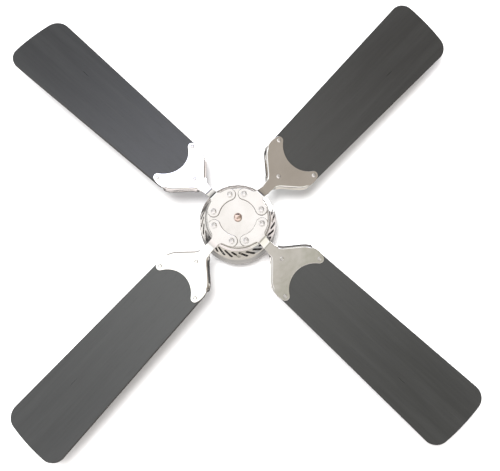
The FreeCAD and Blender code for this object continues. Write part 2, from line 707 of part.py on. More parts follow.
# ------------------------------------------------ upper motor shell
b = new_body("upper_shell")
st = p.shell_top
revolve(b, "upper_shell_casting", [
    (10.6, st), (57.5, st), (64.0, st - 1.2), (67.6, st - 3.6), (p.shell_radius, st - 7.0),
    (p.shell_radius, p.seam_level + 0.6), (p.shell_radius - 0.6, p.seam_level), (p.shell_radius - w - 0.1, p.seam_level),
    (p.shell_radius - w - 0.1, p.seam_level - 3.0), (65.2, p.seam_level - 3.0), (65.2, p.seam_level + 3.0),
    (p.shell_radius - w, p.seam_level + 6.0), (p.shell_radius - w, st - 7.8), (65.6, st - 5.2), (62.9, st - 3.5),
    (56.9, st - 2.4), (p.seat_radius + p.seat_wall, st - 2.4),
    (p.seat_radius + p.seat_wall, p.bearing_high - 0.6), (p.seat_radius, p.bearing_high - 0.6),
    (p.seat_radius, st - 2.2), (10.6, st - 2.2)])
sk = sketch(b, "upper_tie_bosses")
lift(sk, p.stack_high)
for a in (0.0, 90.0, 180.0, 270.0):
    circle(sk, p.tie_circle * dcos(a), p.tie_circle * dsin(a), p.tie_boss)
pad(b, "upper_tie_pads", sk, st - 2.6 - p.stack_high)
sk = sketch(b, "upper_tie_holes")
lift(sk, p.stack_high - 0.5)
for a in (0.0, 90.0, 180.0, 270.0):
    circle(sk, p.tie_circle * dcos(a), p.tie_circle * dsin(a), p.screw_radius + 0.15)
pocket(b, "upper_tie_cut", sk, 40.0, up=True)
sk = sketch(b, "upper_slot")
lift(sk, st)
a9 = math.radians(9.0)
def tilt(x, y):
    return (x * math.cos(a9) - y * math.sin(a9), x * math.sin(a9) + y * math.cos(a9))


outline(sk, [tilt(30.0, -2.3), tilt(51.5, -2.3), tilt(51.5, 2.3), tilt(30.0, 2.3)],
        {1: (2.3, 1), 3: (2.3, 1)})
f = pocket(b, "upper_slot_cut", sk, 3.5)
polar(b, "upper_slots", [f], p.top_slot_count)

# ------------------------------------------------ hub plate
b = new_body("hub_plate")
h0 = p.foot_level + p.iron_gauge
revolve(b, "hub_pressing", [
    (p.hub_bore, h0), (p.hub_radius - 2.0, h0), (p.hub_radius, h0 + 2.0), (p.hub_radius, h0 + p.hub_lip),
    (p.hub_radius - 1.6, h0 + p.hub_lip), (p.hub_radius - 1.6, h0 + p.hub_gauge), (p.hub_bore, h0 + p.hub_gauge)],
    {1: (2.0, 1)})
sk = sketch(b, "hub_holes")
lift(sk, h0)
for a in AZ:
    for s in (1, -1):
        circle(sk, p.foot_circle * dcos(a + s * p.foot_angle), p.foot_circle * dsin(a + s * p.foot_angle), p.foot_clear)
pocket(b, "hub_hole_cut", sk, 4.0, up=True)

# ------------------------------------------------ blade irons
# Paddle frame of an iron: X runs out along the blade, Z up through the blade,
# turned about X by the pitch and sloped up by the rise.
def blade_frame(lift_by=0.0):
    r1 = FreeCAD.Rotation(V3(0, 1, 0), -p.blade_rise.value)
    r2 = FreeCAD.Rotation(V3(1, 0, 0), p.blade_pitch.value)
    q = r1.multiply(r2)
    base = V3(0, 0, p.blade_origin.value) + q.multVec(V3(0, 0, lift_by))
    return FreeCAD.Placement(base, q)


UNDER = -(p.blade_gauge / 2 + p.iron_gauge)      # lower face of the paddle in the blade frame


def blade_iron(label, az):
    b = new_body(label)
    g = p.iron_gauge
    # foot: a band round the hub with a lobe at each screw
    sk = sketch(b, label + "_foot")
    lift(sk, p.foot_level)
    fa = p.foot_angle
    ri, ro = p.foot_circle - p.foot_lobe, p.foot_circle + p.foot_lobe
    outline(sk, [
        (ri * dcos(fa), -(ri * dsin(fa))), (ro * dcos(fa), -(ro * dsin(fa))),
        (ro * dcos(11.5), -(ro * dsin(11.5))), (56.5, -p.neck_half), (58.0, -p.neck_half),
        (58.0, p.neck_half), (56.5, p.neck_half), (ro * dcos(11.5), ro * dsin(11.5)),
        (ro * dcos(fa), ro * dsin(fa)), (ri * dcos(fa), ri * dsin(fa))],
        {0: (p.foot_lobe, 1), 1: (ro, 1), 7: (ro, 1), 8: (p.foot_lobe, 1), 9: (ri, -1)})
    pad(b, label + "_foot_pad", sk, g)
    # paddle in the blade's own slope and pitch
    fr = blade_frame(UNDER.value)
    sk = sketch(b, label + "_paddle", "XY_Plane", fr)
    side = [(p.iron_x_a, -p.neck_half), (p.iron_x_b, -p.iron_y_b), (p.iron_x_c, -p.iron_y_c),
            (p.iron_x_d, -p.iron_y_d), (p.iron_x_e, -p.iron_y_e)]
    pts = [(66.0, -p.neck_half)] + side + [(p.iron_apex, 0.0)] + [(x, -y) for x, y in reversed(side)] + [(66.0, p.neck_half)]
    outline(sk, pts, {1: (p.iron_flank_in, -1), 3: (p.iron_flank_out, 1), 4: (p.iron_lobe, 1),
                      5: (p.iron_hollow, -1), 6: (p.iron_hollow, -1), 7: (p.iron_lobe, 1),
                      8: (p.iron_flank_out, 1), 10: (p.iron_flank_in, -1)})
    pad(b, label + "_paddle_pad", sk, g)
    # neck: a joggle from the foot up to the paddle
    secs = []
    for k, (x, tp) in enumerate(((57.0, 0.0), (66.6, 1.0))):
        if tp == 0.0:
            off = FreeCAD.Placement(V3(x, 0, p.foot_level.value),
                                    FreeCAD.Rotation(V3(0, 1, 0), V3(0, 0, 1), V3(1, 0, 0), "ZXY"))
        else:
            off = fr.multiply(FreeCAD.Placement(V3(x, 0, 0),
                              FreeCAD.Rotation(V3(0, 1, 0), V3(0, 0, 1), V3(1, 0, 0), "ZXY")))
        sk = sketch(b, "%s_neck_%d" % (label, k + 1), "XY_Plane", off)
        outline(sk, [(-p.neck_half, 0), (p.neck_half, 0), (p.neck_half, g), (-p.neck_half, g)])
        secs.append(sk)
    f = body_loft(b, label + "_neck", secs)
    # rim turned up along both flanks, outside the blade root
    sk = sketch(b, label + "_rim", "XY_Plane", fr)
    rg = p.rim_gauge
    for s in (1, -1):
        pts = rim_points()
        if s < 0:
            pts = [(x, -y) for x, y in reversed(pts)]
        outline(sk, pts)
    pad(b, label + "_rim_pad", sk, g + p.iron_rim)
    # holes
    sk = sketch(b, label + "_blade_holes", "XY_Plane", fr)
    circle(sk, p.blade_screw_neck, 0, p.blade_hole)
    circle(sk, p.blade_screw_x, p.blade_screw_y, p.blade_hole)
    circle(sk, p.blade_screw_x, -p.blade_screw_y, p.blade_hole)
    pocket(b, label + "_blade_hole_cut", sk, g + 1, up=True)
    sk = sketch(b, label + "_foot_holes")
    lift(sk, p.foot_level)
    for s in (1, -1):
        circle(sk, p.foot_circle * dcos(fa), s * (p.foot_circle * dsin(fa)), p.foot_clear)
    pocket(b, label + "_foot_hole_cut", sk, g + 1, up=True)
    b.Placement = spin(az)
    return b


def body_loft(b, name, secs):
    f = b.newObject("PartDesign::AdditiveLoft", name)
    f.Profile = secs[0]
    f.Sections = secs[1:]
    f.Ruled = True
    return f


def rim_points():
    """Strip along the lower flank of the paddle: outer line then inner line."""
    R1, R2 = p.iron_flank_in.value, p.iron_flank_out.value
    xa, ya = p.iron_x_a.value, p.neck_half.value
    c1 = (xa, ya + R1)
    outer = []
    for x in (84.0, 88.0, 92.0):
        outer.append((x, c1[1] - math.sqrt(R1 * R1 - (x - c1[0]) ** 2)))
    outer.append((p.iron_x_b.value, p.iron_y_b.value))
    outer.append((p.iron_x_c.value, p.iron_y_c.value))
    # centre of the outer flank arc
    x0, y0, x1, y1 = p.iron_x_c.value, p.iron_y_c.value, p.iron_x_d.value, p.iron_y_d.value
    mx, my, dx, dy = (x0 + x1) / 2, (y0 + y1) / 2, x1 - x0, y1 - y0
    c = math.hypot(dx, dy)
    q = math.sqrt(R2 * R2 - c * c / 4)
    c2 = (mx + dy / c * q, my - dx / c * q)
    for x in (122.0, 126.0, 130.0):
        outer.append((x, c2[1] + math.sqrt(R2 * R2 - (x - c2[0]) ** 2)))
    # inner line: offset towards the centre line
    t = p.rim_gauge.value
    inner = []
    n = len(outer)
    for k in range(n):
        a, c = outer[max(k - 1, 0)], outer[min(k + 1, n - 1)]
        dx, dy = c[0] - a[0], c[1] - a[1]
        l = math.hypot(dx, dy)
        inner.append((outer[k][0] + dy / l * t, outer[k][1] - dx / l * t))
    pts = [(x, -(y - 0.02)) for x, y in outer] + [(x, -y) for x, y in reversed(inner)]
    return pts


for k, az in enumerate(AZ):
    blade_iron("blade_iron_%d" % (k + 1), az)


# ------------------------------------------------ blades
def blade(label, az):
    b = new_body(label)
    fr = blade_frame(0.0)
    sk = sketch(b, label + "_plan", "XY_Plane", fr)
    tip_x = p.blade_tip - p.tip_bulge
    slope = (p.blade_tip_half - p.blade_root_half) / (tip_x - 140.0)
    # vertices of the lower half, root to tip
    half = [(p.blade_root, -8.5), (p.blade_root + 3.0, -12.4), (115.5, -34.6), (120.6, -39.6), (131.4, -48.6),
            (140.0, -p.blade_root_half)]
    cr = p.tip_corner
    e0 = (tip_x - cr, -(p.blade_tip_half - slope * cr))
    # convex end through three points, its corners rounded
    e1 = (tip_x + 0.9, -(p.blade_tip_half - cr))
    pts = half + [e0, e1] + [(x, -y) for x, y in reversed(half + [e0, e1])]
    n = len(half)
    W = (p.blade_tip_half - cr).value
    sag = (p.tip_bulge - 0.9).value
    Rend = (W * W + sag * sag) / (2 * sag)
    outline(sk, pts, {n: (cr + 0.35, 1), n + 1: (Rend, 1), n + 2: (cr + 0.35, 1)})
    pad(b, label + "_board", sk, p.blade_gauge, both=True)
    sk = sketch(b, label + "_screw_holes", "XY_Plane", fr)
    circle(sk, p.blade_screw_neck, 0, p.blade_hole)
    circle(sk, p.blade_screw_x, p.blade_screw_y, p.blade_hole)
    circle(sk, p.blade_screw_x, -p.blade_screw_y, p.blade_hole)
    pocket(b, label + "_screw_cut", sk, p.blade_gauge + 2, both=True)
    b.Placement = spin(az)
    return b


for k, az in enumerate(AZ):
    blade("blade_%d" % (k + 1), az)


# ------------------------------------------------ fasteners
def pan_screw(label, head_r, head_h, shank_r, shank_l, recess=True):
    """Head above Z = 0 and shank below it."""
    base = prim("Part::Cylinder", label + "_head", Radius=head_r, Height=head_h * 0.45)
    dome = prim("Part::Cone", label + "_dome", Radius1=head_r, Radius2=head_r * 0.62, Height=head_h * 0.55)
    at(dome, 0, 0, head_h * 0.45)
    shank = prim("Part::Cylinder", label + "_shank", Radius=shank_r, Height=shank_l)
    at(shank, 0, 0, -dim(shank_l))
    body = fuse(label + "_blank", [base, dome, shank])
    if not recess:
        return body
    s = head_r * 0.5
    w = head_r * 0.17
    a = at(prim("Part::Box", label + "_cross_a", Length=2 * s, Width=2 * w, Height=head_h), -s, -w, head_h * 0.45)
    c = at(prim("Part::Box", label + "_cross_b", Length=2 * w, Width=2 * s, Height=head_h), -w, -s, head_h * 0.45)
    return cut(label, body, fuse(label + "_cross", [a, c]))


def washer(label, ro, ri, t):
    return cut(label, prim("Part::Cylinder", label + "_disc", Radius=ro, Height=t),
               prim("Part::Cylinder", label + "_bore", Radius=ri, Height=t))


flip = FreeCAD.Rotation(V3(1, 0, 0), 180)


def ring_places(rad, angles, z, rot):
    out = []
    for a in angles:
        q = math.radians(a)
        out.append(FreeCAD.Placement(V3(rad * math.cos(q), rad * math.sin(q), z),
                                     FreeCAD.Rotation(V3(0, 0, 1), a).multiply(rot)))
    return out


foot_az = [a + s * p.foot_angle.value for a in AZ for s in (1, -1)]
fl = p.foot_level.value
group("foot_washers", washer("foot_washer", 6.0, p.screw_radius + 0.15, 0.9),
      ring_places(p.foot_circle.value, foot_az, fl, flip))
group("foot_screws", pan_screw("foot_screw", 4.5, 2.9, p.screw_radius, 13.4),
      ring_places(p.foot_circle.value, foot_az, fl - 0.9, flip))

spots = [(p.blade_screw_neck.value, 0.0), (p.blade_screw_x.value, p.blade_screw_y.value),
         (p.blade_screw_x.value, -p.blade_screw_y.value)]


def blade_places(z, rot):
    out = []
    for az in AZ:
        fr = spin(az).multiply(blade_frame(0.0))
        for x, y in spots:
            out.append(fr.multiply(FreeCAD.Placement(V3(x, y, z), rot)))
    return out


none = FreeCAD.Rotation()
group("blade_screws", pan_screw("blade_screw", 3.6, 2.2, 1.95, 16.0), blade_places(UNDER.value, flip))
group("blade_washers", washer("blade_washer", 5.5, 2.15, 0.8), blade_places(p.blade_gauge.value / 2, none))
nut = prim("Part::Prism", "nut_prism", Circumradius=4.05, Height=3.2)
nut.Polygon = 6
nb = prim("Part::Cylinder", "nut_bore", Radius=2.0, Height=3.2)
group("blade_nuts", cut("blade_nut", nut, nb), blade_places(p.blade_gauge.value / 2 + 0.8, none))
group("shell_screws", pan_screw("shell_screw", 3.6, 2.4, p.screw_radius, 58.6),
      ring_places(p.tie_circle.value, [0.0, 90.0, 180.0, 270.0], p.shell_top.value, none))
group("flange_screws", pan_screw("flange_screw", 3.7, 2.4, p.screw_radius, 8.0),
      ring_places(p.flange_circle.value, AZ, p.canopy_low.value, flip))
side = []
for a in (0.0, 90.0, 180.0, 270.0):
    q = math.radians(a)
    side.append(FreeCAD.Placement(V3(59.8 * math.cos(q), 59.8 * math.sin(q), p.side_screw_level.value),
                                  FreeCAD.Rotation(V3(0, 0, 1), a).multiply(FreeCAD.Rotation(V3(0, 1, 0), 90))))
group("canopy_screws", pan_screw("canopy_screw", 3.7, 2.2, p.screw_radius, 9.0), side)

# ------------------------------------------------ electrical parts inside the canopy
cap = doc.addObject("Part::Box", "capacitor_block")
for k, v in (("Length", 36.0), ("Width", 15.0), ("Height", 15.0)):
    setattr(cap, k, v)
at(cap, -18.0, 26.0, p.bracket_gauge * -1 - 15.0)
cf = doc.addObject("Part::Fillet", "run_capacitor")
cf.Base = cap
cf.Edges = [(k, 2.0, 2.0) for k in (1, 3, 5, 7)]
cf.Label = "run_capacitor"
NODES.append(cf)

b = new_body("terminal_block")
sk = sketch(b, "terminal_plan")
lift(sk, -14.0)
outline(sk, [(-18.0, -38.5), (18.0, -38.5), (18.0, -26.5), (-18.0, -26.5)])
pad(b, "terminal_base", sk, 14.0 - p.bracket_gauge)
sk = sketch(b, "terminal_ways")
lift(sk, -14.0)
for k in range(3):
    x = -10.0 + 10.0 * k
    outline(sk, [(x - 3.6, -36.5), (x + 3.6, -36.5), (x + 3.6, -28.5), (x - 3.6, -28.5)])
pocket(b, "terminal_way_cut", sk, 5.0, up=True)
tm = pan_screw("terminal_screw", 2.6, 1.6, 1.4, 3.0)
group("terminal_screws", tm, [FreeCAD.Placement(V3(-10.0 + 10.0 * k, -32.5, -9.0), flip) for k in range(3)])
b = doc.getObject("terminal_block")
sk = sketch(b, "terminal_threads")
lift(sk, -9.0)
for k in range(3):
    circle(sk, -10.0 + 10.0 * k, -32.5, 1.45)
pocket(b, "terminal_thread_cut", sk, 4.0, up=True)

# ------------------------------------------------ check and write
doc.recompute()
bad = []
for o in doc.Objects:
    if any(s in ("Invalid", "Error") for s in o.State):
        bad.append("%s state %s" % (o.Name, o.State))
for n in NODES:
    if n.Shape.isNull() or not n.Shape.isValid() or len(n.Shape.Solids) == 0:
        bad.append("%s shape null or not valid" % n.Label)
if bad:
    raise RuntimeError("; ".join(bad))
names = [n.Label for n in NODES]
if len(set(names)) != len(names):
    raise RuntimeError("repeated label")
os.makedirs("parts", exist_ok=True)
for n in NODES:
    n.Shape.exportStep(os.path.join("parts", n.Label + ".step"))
total = Part.makeCompound([n.Shape for n in NODES]).BoundBox
for n in NODES:
    bb = n.Shape.BoundBox
    print("%-24s solids %3d  volume %10.1f  z %8.2f %8.2f" % (n.Label, len(n.Shape.Solids), n.Shape.Volume, bb.ZMin, bb.ZMax))
print("nodes", len(NODES), "size %.2f %.2f %.2f" % (total.XLength, total.YLength, total.ZLength), "z %.2f %.2f" % (total.ZMin, total.ZMax))
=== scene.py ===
import bpy
import bmesh
import json
import math
from mathutils import Matrix, Vector

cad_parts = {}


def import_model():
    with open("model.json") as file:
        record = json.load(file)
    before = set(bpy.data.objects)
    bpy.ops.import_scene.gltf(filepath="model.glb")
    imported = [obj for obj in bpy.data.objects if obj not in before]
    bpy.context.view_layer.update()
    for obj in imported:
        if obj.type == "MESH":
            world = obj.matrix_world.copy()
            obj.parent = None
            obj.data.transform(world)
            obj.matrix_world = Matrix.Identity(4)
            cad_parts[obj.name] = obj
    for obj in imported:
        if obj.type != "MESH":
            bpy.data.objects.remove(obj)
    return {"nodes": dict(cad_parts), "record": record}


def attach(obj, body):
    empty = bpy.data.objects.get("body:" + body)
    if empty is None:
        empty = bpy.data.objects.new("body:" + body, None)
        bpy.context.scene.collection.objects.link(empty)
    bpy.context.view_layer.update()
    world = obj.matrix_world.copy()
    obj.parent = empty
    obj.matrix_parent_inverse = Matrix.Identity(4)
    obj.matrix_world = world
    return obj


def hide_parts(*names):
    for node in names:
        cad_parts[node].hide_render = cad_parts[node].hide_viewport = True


# Four-blade low-profile ceiling fan, seen from below as it hangs.
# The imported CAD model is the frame; this script adds finishes, finer pieces, light and camera.

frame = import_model()
bpy.context.view_layer.update()
NODES = frame["nodes"]
MM = 0.001
AZ = [45.0, 135.0, 225.0, 315.0]
FOOT_Z = -120.0


# ------------------------------------------------------------------ materials
class Finish:
    """A material with a Principled shader and short-hands for its texture nodes."""

    def __init__(self, name, **values):
        self.m = bpy.data.materials.new(name)
        self.m.use_nodes = True
        self.t = self.m.node_tree
        self.b = self.t.nodes["Principled BSDF"]
        for k, v in values.items():
            self.b.inputs[k.replace("_", " ")].default_value = v
        self.x = -300

    def node(self, kind, **props):
        n = self.t.nodes.new(kind)
        n.location = (self.x, 300)
        self.x -= 180
        for k, v in props.items():
            setattr(n, k, v)
        return n

    def put(self, value, socket):
        if isinstance(value, bpy.types.NodeSocket):
            self.t.links.new(value, socket)
        else:
            socket.default_value = value

    def coords(self, scale=(1, 1, 1), turn=(0, 0, 0), shift=(0, 0, 0)):
        c = self.node("ShaderNodeTexCoord")
        g = self.node("ShaderNodeMapping")
        g.inputs["Scale"].default_value = scale
        g.inputs["Rotation"].default_value = turn
        g.inputs["Location"].default_value = shift
        self.t.links.new(c.outputs["Object"], g.inputs["Vector"])
        return g.outputs["Vector"]

    def noise(self, where, scale, detail=3.0, rough=0.5, distortion=0.0):
        n = self.node("ShaderNodeTexNoise")
        self.put(where, n.inputs["Vector"])
        n.inputs["Scale"].default_value = scale
        n.inputs["Detail"].default_value = detail
        n.inputs["Roughness"].default_value = rough
        n.inputs["Distortion"].default_value = distortion
        return n.outputs["Fac"]

    def span(self, value, a, b, c, d, smooth=False):
        """Map value from a..b to c..d, clamped."""
        n = self.node("ShaderNodeMapRange")
        n.clamp = True
        if smooth:
            n.interpolation_type = "SMOOTHSTEP"
        self.put(value, n.inputs["Value"])
        for k, v in (("From Min", a), ("From Max", b), ("To Min", c), ("To Max", d)):
            n.inputs[k].default_value = v
        return n.outputs["Result"]

    def blend(self, fac, a, b, how="MIX"):
        n = self.node("ShaderNodeMix", data_type="RGBA", blend_type=how)
        self.put(fac, n.inputs[0])
        self.put(a if isinstance(a, bpy.types.NodeSocket) else (*a, 1.0), n.inputs[6])
        self.put(b if isinstance(b, bpy.types.NodeSocket) else (*b, 1.0), n.inputs[7])
        return n.outputs[2]

    def calc(self, how, a, b=0.0, c=0.0):
        n = self.node("ShaderNodeMath", operation=how)
        self.put(a, n.inputs[0])
        self.put(b, n.inputs[1])
        self.put(c, n.inputs[2])
        return n.outputs[0]

    def bump(self, height, strength, distance, after=None):
        n = self.node("ShaderNodeBump")
        n.inputs["Strength"].default_value = strength
        n.inputs["Distance"].default_value = distance
        self.put(height, n.inputs["Height"])
        if after is not None:
            self.put(after, n.inputs["Normal"])
        return n.outputs["Normal"]

    def base(self, v):
        self.put(v, self.b.inputs["Base Color"])

    def rough(self, v):
        self.put(v, self.b.inputs["Roughness"])

    def normal(self, v):
        self.put(v, self.b.inputs["Normal"])


def polished(name, light, dark, lo, hi, wave=0.25, grain=0.08, haze=14.0):
    """Polished plate: soft waviness from buffing, hazy patches and fine hairlines."""
    f = Finish(name, Metallic=1.0)
    c = f.coords()
    broad = f.noise(c, haze, 3.0, 0.55, 0.4)
    fine = f.noise(f.coords((1, 1, 1), (0.3, 0.2, 0.7)), 900.0, 3.0, 0.6)
    hair = f.noise(f.coords((1.0, 0.03, 1.0), (0, 0, 0.6)), 2600.0, 2.0, 0.5)
    f.base(f.blend(f.span(broad, 0.3, 0.7, 0.0, 1.0), light, dark))
    mixed = f.calc("ADD", f.span(broad, 0.35, 0.7, lo, hi), f.span(fine, 0.45, 0.8, 0.0, 0.03))
    f.rough(f.calc("ADD", mixed, f.span(hair, 0.62, 0.72, 0.0, 0.05)))
    n1 = f.bump(f.noise(c, 34.0, 2.0, 0.45), wave, 0.0012)
    f.normal(f.bump(fine, grain, 0.00004, n1))
    return f.m


def turned(name, light, dark, lo, hi, metallic=1.0, pitch=5200.0):
    """Machined metal: fine rings round the spin axis."""
    f = Finish(name, Metallic=metallic)
    c = f.coords()
    rings = f.noise(f.coords((0.02, 0.02, 1.0)), pitch, 2.0, 0.6)
    broad = f.noise(c, 60.0, 3.0, 0.6)
    f.base(f.blend(f.span(broad, 0.3, 0.7, 0.0, 1.0), light, dark))
    f.rough(f.calc("ADD", f.span(broad, 0.3, 0.7, lo, hi), f.span(rings, 0.4, 0.7, 0.0, 0.06)))
    f.normal(f.bump(rings, 0.12, 0.00005))
    return f.m


def plain_metal(name, light, dark, lo, hi, scale=220.0, bump=0.1):
    f = Finish(name, Metallic=1.0)
    c = f.coords()
    a = f.noise(c, scale, 4.0, 0.6)
    b = f.noise(c, scale * 7.0, 2.0, 0.5)
    f.base(f.blend(f.span(a, 0.3, 0.7, 0.0, 1.0), light, dark))
    f.rough(f.span(a, 0.3, 0.7, lo, hi))
    f.normal(f.bump(b, bump, 0.00006))
    return f.m


def moulded(name, light, dark, lo, hi, scale=700.0, bump=0.25, **more):
    f = Finish(name, **more)
    c = f.coords()
    a = f.noise(c, scale * 0.12, 3.0, 0.55)
    b = f.noise(c, scale, 2.0, 0.5)
    f.base(f.blend(f.span(a, 0.3, 0.7, 0.0, 1.0), light, dark))
    f.rough(f.span(b, 0.3, 0.7, lo, hi))
    f.normal(f.bump(b, bump, 0.00008))
    return f.m


M = {}
M["polished_nickel"] = polished("polished_nickel", (0.80, 0.785, 0.755), (0.70, 0.68, 0.64), 0.045, 0.12)
M["polished_casting"] = polished("polished_casting", (0.76, 0.745, 0.72), (0.60, 0.585, 0.555), 0.09, 0.2, 0.35, 0.12, 26.0)
M["plated_screw"] = plain_metal("plated_screw", (0.88, 0.87, 0.85), (0.76, 0.74, 0.72), 0.26, 0.38, 500.0, 0.08)
M["zinc_steel"] = plain_metal("zinc_steel", (0.62, 0.62, 0.60), (0.45, 0.46, 0.46), 0.26, 0.42, 260.0, 0.15)
M["shaft_steel"] = turned("shaft_steel", (0.60, 0.60, 0.60), (0.48, 0.48, 0.48), 0.18, 0.30)
M["bearing_steel"] = turned("bearing_steel", (0.66, 0.66, 0.66), (0.55, 0.55, 0.56), 0.10, 0.18)
M["cage_aluminium"] = plain_metal("cage_aluminium", (0.72, 0.72, 0.71), (0.58, 0.58, 0.57), 0.3, 0.45, 160.0, 0.3)
M["cap_bronze"] = turned("cap_bronze", (0.80, 0.66, 0.60), (0.66, 0.50, 0.43), 0.12, 0.22, 1.0)


def lamination():
    f = Finish("lamination_steel", Metallic=0.9)
    stack = f.node("ShaderNodeTexWave", bands_direction="Z", wave_profile="SIN")
    f.put(f.coords(), stack.inputs["Vector"])
    stack.inputs["Scale"].default_value = 320.0
    stack.inputs["Distortion"].default_value = 0.0
    rust = f.noise(f.coords(), 90.0, 4.0, 0.6)
    f.base(f.blend(f.span(rust, 0.35, 0.75, 0.0, 1.0), (0.30, 0.31, 0.33), (0.20, 0.17, 0.15)))
    f.rough(f.span(rust, 0.3, 0.7, 0.38, 0.55))
    f.normal(f.bump(stack.outputs["Fac"], 0.6, 0.0002))
    return f.m


def winding():
    f = Finish("copper_winding", Metallic=0.55, Coat_Weight=0.6)
    f.b.inputs["Coat Roughness"].default_value = 0.15
    wires = f.node("ShaderNodeTexWave", bands_direction="Z", wave_profile="SIN")
    f.put(f.coords((1, 1, 1)), wires.inputs["Vector"])
    wires.inputs["Scale"].default_value = 520.0
    wires.inputs["Distortion"].default_value = 1.2
    tone = f.noise(f.coords(), 300.0, 3.0, 0.6)
    f.base(f.blend(f.span(tone, 0.3, 0.7, 0.0, 1.0), (0.62, 0.25, 0.09), (0.38, 0.13, 0.045)))
    f.rough(f.span(tone, 0.3, 0.7, 0.28, 0.42))
    f.normal(f.bump(wires.outputs["Fac"], 0.7, 0.0003))
    return f.m


M["lamination_steel"] = lamination()
M["copper_winding"] = winding()
M["insulation_green"] = moulded("insulation_green", (0.05, 0.16, 0.10), (0.035, 0.11, 0.07), 0.38, 0.5)
M["black_plastic"] = moulded("black_plastic", (0.022, 0.022, 0.024), (0.014, 0.014, 0.015), 0.35, 0.5)
M["white_plastic"] = moulded("white_plastic", (0.78, 0.77, 0.73), (0.70, 0.69, 0.65), 0.32, 0.45)
M["grommet_rubber"] = moulded("grommet_rubber", (0.02, 0.02, 0.02), (0.012, 0.012, 0.012), 0.6, 0.75)


def laminate():
    """Charcoal wood laminate: long open grain along the board under a satin film."""
    f = Finish("blade_wood")
    f.b.inputs["Specular IOR Level"].default_value = 0.5
    f.b.inputs["Coat Weight"].default_value = 0.12
    f.b.inputs["Coat Roughness"].default_value = 0.3
    long = f.coords((0.055, 1.0, 1.0))
    warp = f.noise(f.coords((0.12, 1.0, 1.0)), 9.0, 2.0, 0.5, 0.8)
    broad = f.noise(long, 46.0, 4.0, 0.62, 1.4)
    pores = f.noise(f.coords((0.018, 1.0, 1.0)), 1500.0, 3.0, 0.62, 0.3)
    streak = f.noise(f.coords((0.03, 1.0, 1.0)), 240.0, 3.0, 0.6, 0.5)
    tone = f.blend(f.span(broad, 0.30, 0.72, 0.0, 1.0), (0.0175, 0.0179, 0.0175), (0.0262, 0.0268, 0.0262))
    tone = f.blend(f.span(streak, 0.45, 0.75, 0.0, 0.55), tone, (0.0155, 0.0155, 0.0155))
    tone = f.blend(f.span(warp, 0.4, 0.7, 0.0, 0.35), tone, (0.0275, 0.028, 0.028))
    # painted highlight: the colour lightens towards the root, standing in for the brighter sheen and light near the
    # hub
    cx = f.node("ShaderNodeSeparateXYZ")
    f.put(f.coords(), cx.inputs[0])
    painted_root_sheen = f.span(cx.outputs[0], 0.10, 0.46, 0.5, 0.0, True)
    tone = f.blend(painted_root_sheen, tone, (0.047, 0.048, 0.0475))
    dark = f.span(pores, 0.60, 0.70, 0.0, 0.6)
    f.base(f.blend(dark, tone, (0.009, 0.009, 0.009)))
    f.rough(f.calc("ADD", f.span(broad, 0.3, 0.7, 0.27, 0.34), f.span(pores, 0.5, 0.7, 0.0, 0.10)))
    h = f.calc("SUBTRACT", f.span(streak, 0.3, 0.7, 0.0, 0.5), dark)
    f.normal(f.bump(h, 0.25, 0.00012))
    return f.m


def board_edge():
    """Painted edge of the board: pressed fibre showing faintly through."""
    f = Finish("blade_edge")
    a = f.noise(f.coords((1, 1, 9.0)), 260.0, 4.0, 0.65)
    b = f.noise(f.coords(), 1400.0, 2.0, 0.5)
    f.base(f.blend(f.span(a, 0.3, 0.7, 0.0, 1.0), (0.022, 0.021, 0.020), (0.040, 0.037, 0.034)))
    f.rough(f.span(b, 0.3, 0.7, 0.5, 0.66))
    f.normal(f.bump(b, 0.4, 0.0001))
    return f.m


# painted shade: a dark material for the crease lines where the feet meet the hub plate
M["old_polish"] = moulded("old_polish", (0.050, 0.046, 0.044), (0.022, 0.020, 0.019), 0.55, 0.75, 1800.0, 0.5)
M["blade_wood"] = laminate()
M["blade_edge"] = board_edge()

for name, ob in NODES.items():
    for i, s in enumerate(ob.material_slots):
        if s.material and s.material.name.split(".")[0] in M:
            s.material = M[s.material.name.split(".")[0]]
    # the imported material may have taken the name first
by_node = {}
for row in frame["record"]["materials"]:
    for n in row.get("nodes", []):
        by_node[n] = row["slot"]
for name, ob in NODES.items():
    slot = by_node.get(name)
    if slot in M:
        ob.data.materials.clear()
        ob.data.materials.append(M[slot])


# ------------------------------------------------------------------ mesh helpers
def to_object(name, verts, faces, mats, face_mat=None, smooth=True, matrix=None, sharp=None):
    me = bpy.data.meshes.new(name)
    me.from_pydata(verts, [], faces)
    for m in mats:
        me.materials.append(m)
    if face_mat is not None:
        me.polygons.foreach_set("material_index", face_mat)
    me.polygons.foreach_set("use_smooth", [smooth] * len(me.polygons))
    me.validate()
    me.update()
    ob = bpy.data.objects.new(name, me)
    bpy.context.scene.collection.objects.link(ob)
    if matrix is not None:
        ob.matrix_world = matrix
    return ob


def even_normals(ob):
    """Large flat faces keep their own normal; only the rounded edges are shaded across."""
    w = ob.modifiers.new("even_normals", "WEIGHTED_NORMAL")
    w.mode = "FACE_AREA"
    w.weight = 80
    w.keep_sharp = True
    return ob


def arc(c, r, a0, a1, n):
    """Points of an arc in degrees, both ends included."""
    out = []
    for i in range(n + 1):
        a = math.radians(a0 + (a1 - a0) * i / n)
        out.append((c[0] + r * math.cos(a), c[1] + r * math.sin(a)))
    return out


def arc_between(p, q, r, side, n):
    """Arc from p to q of radius r, its centre to the left (side 1) or right (-1) of the way."""
    mx, my = (p[0] + q[0]) / 2, (p[1] + q[1]) / 2
    dx, dy = q[0] - p[0], q[1] - p[1]
    c = math.hypot(dx, dy)
    h = math.sqrt(max(r * r - c * c / 4, 0.0))
    cx, cy = mx - side * dy / c * h, my + side * dx / c * h
    a0 = math.atan2(p[1] - cy, p[0] - cx)
    a1 = math.atan2(q[1] - cy, q[0] - cx)
    if side > 0 and a1 < a0:
        a1 += 2 * math.pi
    if side < 0 and a1 > a0:
        a1 -= 2 * math.pi
    return [(cx + r * math.cos(a0 + (a1 - a0) * i / n), cy + r * math.sin(a0 + (a1 - a0) * i / n)) for i in range(n + 1)]


